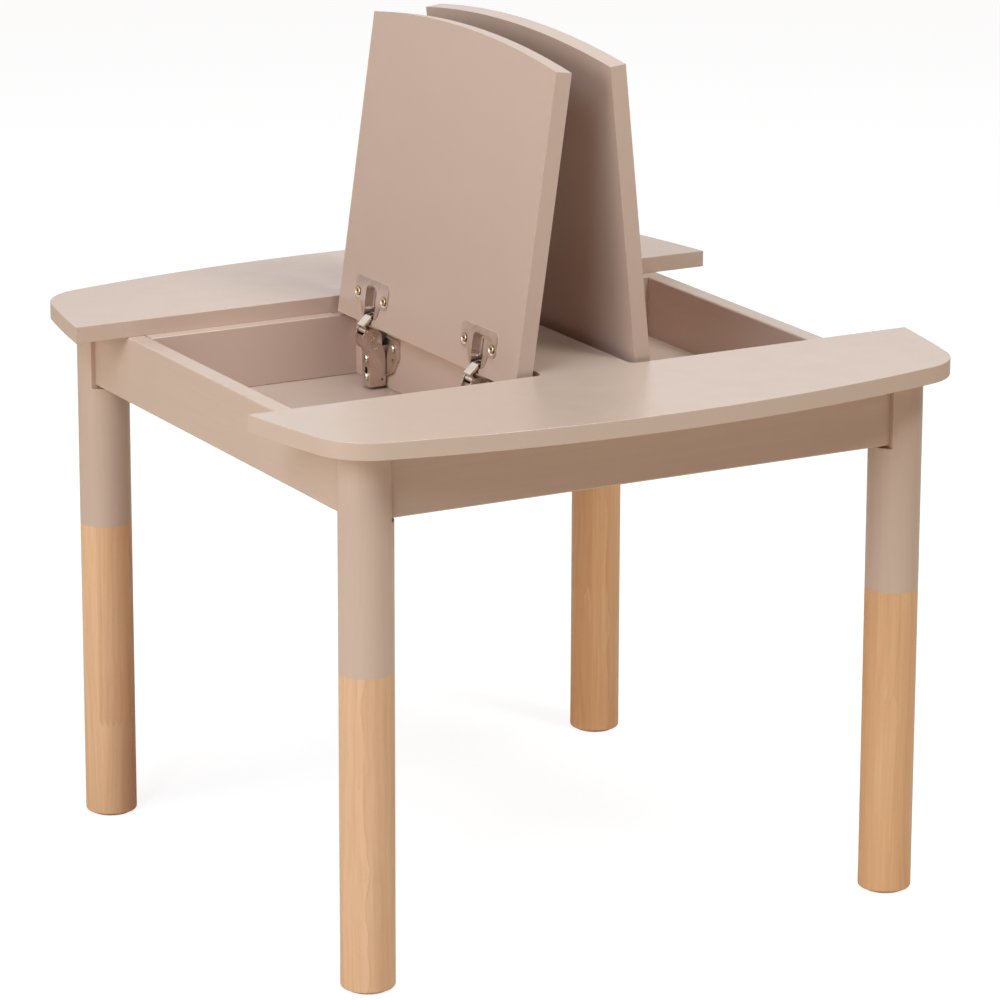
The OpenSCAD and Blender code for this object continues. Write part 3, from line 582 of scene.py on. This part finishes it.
for side in ("left", "right"):
    screws = plain_copy(f"cup_screws_{side}", f"yellow_screws_{side}")
    flatten_heads(screws, side)
    for depth in ("front", "back"):
        place = lid_place(side, depth)
        for aside in (-CUP_SCREW_ASIDE, CUP_SCREW_ASIDE):
            press(screws, "ball", (CUP_SCREW_IN, aside, -0.0023), HEAD_DIMPLE, place)
            for slot_size in CROSS_SLOTS:
                press(screws, "block", (CUP_SCREW_IN, aside, -0.0018), slot_size, place)
    round_edges(screws, 0.00025)
    stands_for(screws, f"cup_screws_{side}", f"lid_{side}", yellow_steel)
    pins = rounded_copy(f"cup_pins_{side}", f"cup_rivets_{side}", PIN_EDGE)
    stands_for(pins, f"cup_pins_{side}", f"lid_{side}", satin_nickel)
    for node, name in (("arm_pins", "arm_rivets"), ("arm_screws", "adjusting_screws"),
                       ("plate_screws", "plate_screws_heads")):
        part = rounded_copy(f"{node}_{side}", f"{name}_{side}", PIN_EDGE)
        stands_for(part, f"{node}_{side}", "table", satin_nickel)

# The studio: a wide pale floor, which looks white to the camera and keeps the table's shadow. Broad soft lamps
# hang over the table, to its left and to its front on both sides, and a faint warm light fills the shadows.
bpy.ops.object.select_all(action="DESELECT")
bpy.ops.mesh.primitive_circle_add(vertices=96, radius=14, fill_type="NGON")
floor = bpy.context.active_object
floor.name = "studio_floor"
floor_material, tree, shader = new_material("pale floor")
tree.nodes.remove(shader)
pale = add_node(tree, "BsdfDiffuse", Color=(0.88, 0.76, 0.62, 1))
shaded = add_node(tree, "BsdfDiffuse", Color=(0.27, 0.27, 0.27, 1))
glow = add_node(tree, "Emission", Color=(1, 1, 1, 1), Strength=0.885)
white = add_node(tree, "AddShader", _0=shaded.outputs["BSDF"], _1=glow.outputs["Emission"])
seen = add_node(tree, "LightPath")
surface = add_node(tree, "MixShader", _0=seen.outputs["Is Camera Ray"], _1=pale.outputs["BSDF"],
                   _2=white.outputs["Shader"])
tree.links.new(surface.outputs["Shader"], tree.nodes["Material Output"].inputs["Surface"])
floor.data.materials.append(floor_material)

world = bpy.data.worlds.new("white studio")
bpy.context.scene.world = world
world.use_nodes = True
tree = world.node_tree
filling = tree.nodes["Background"]
filling.inputs["Color"].default_value = (1.0, 0.22, 0.06, 1)
filling.inputs["Strength"].default_value = 0.13
mirrored = add_node(tree, "Background", Color=(1, 0.97, 0.97, 1), Strength=0.96)
backdrop = add_node(tree, "Background", Color=(1, 1, 1, 1), Strength=1.0)
seen = add_node(tree, "LightPath")
around = add_node(tree, "MixShader", _0=seen.outputs["Is Glossy Ray"], _1=filling.outputs["Background"],
                  _2=mirrored.outputs["Background"])
around = add_node(tree, "MixShader", _0=seen.outputs["Is Camera Ray"], _1=around.outputs["Shader"],
                  _2=backdrop.outputs["Background"])
tree.links.new(around.outputs["Shader"], tree.nodes["World Output"].inputs["Surface"])
TABLE_MIDDLE = Vector((0, 0, 0.4))


def soft_lamp(name, azimuth, elevation, distance, size, power, colour):
    """A round soft lamp that looks at the table. Azimuth 0 is in front of it, and 90 is at its right."""
    lamp_data = bpy.data.lights.new(name, "AREA")
    lamp_data.shape = "DISK"
    lamp_data.size = size
    lamp_data.energy = power
    lamp_data.color = colour
    lamp = bpy.data.objects.new(name, lamp_data)
    bpy.context.scene.collection.objects.link(lamp)
    around, up = math.radians(azimuth), math.radians(elevation)
    back = Vector((math.sin(around) * math.cos(up), -math.cos(around) * math.cos(up), math.sin(up)))
    lamp.location = TABLE_MIDDLE + distance * back
    lamp.rotation_euler = back.to_track_quat("Z", "Y").to_euler()


soft_lamp("overhead lamp", -22, 82, 4.5, 3.0, 109, (0.71, 0.99, 1.05))
soft_lamp("low left lamp", -82, 18, 4.5, 2.4, 88, (0.90, 1.01, 0.95))
soft_lamp("left front lamp", -55, 40, 5.0, 2.0, 85, (0.69, 0.97, 1.20))
soft_lamp("right front lamp", 25, 55, 5.0, 1.5, 117, (0.83, 1.0, 0.99))

bpy.context.scene.view_settings.view_transform = "Standard"
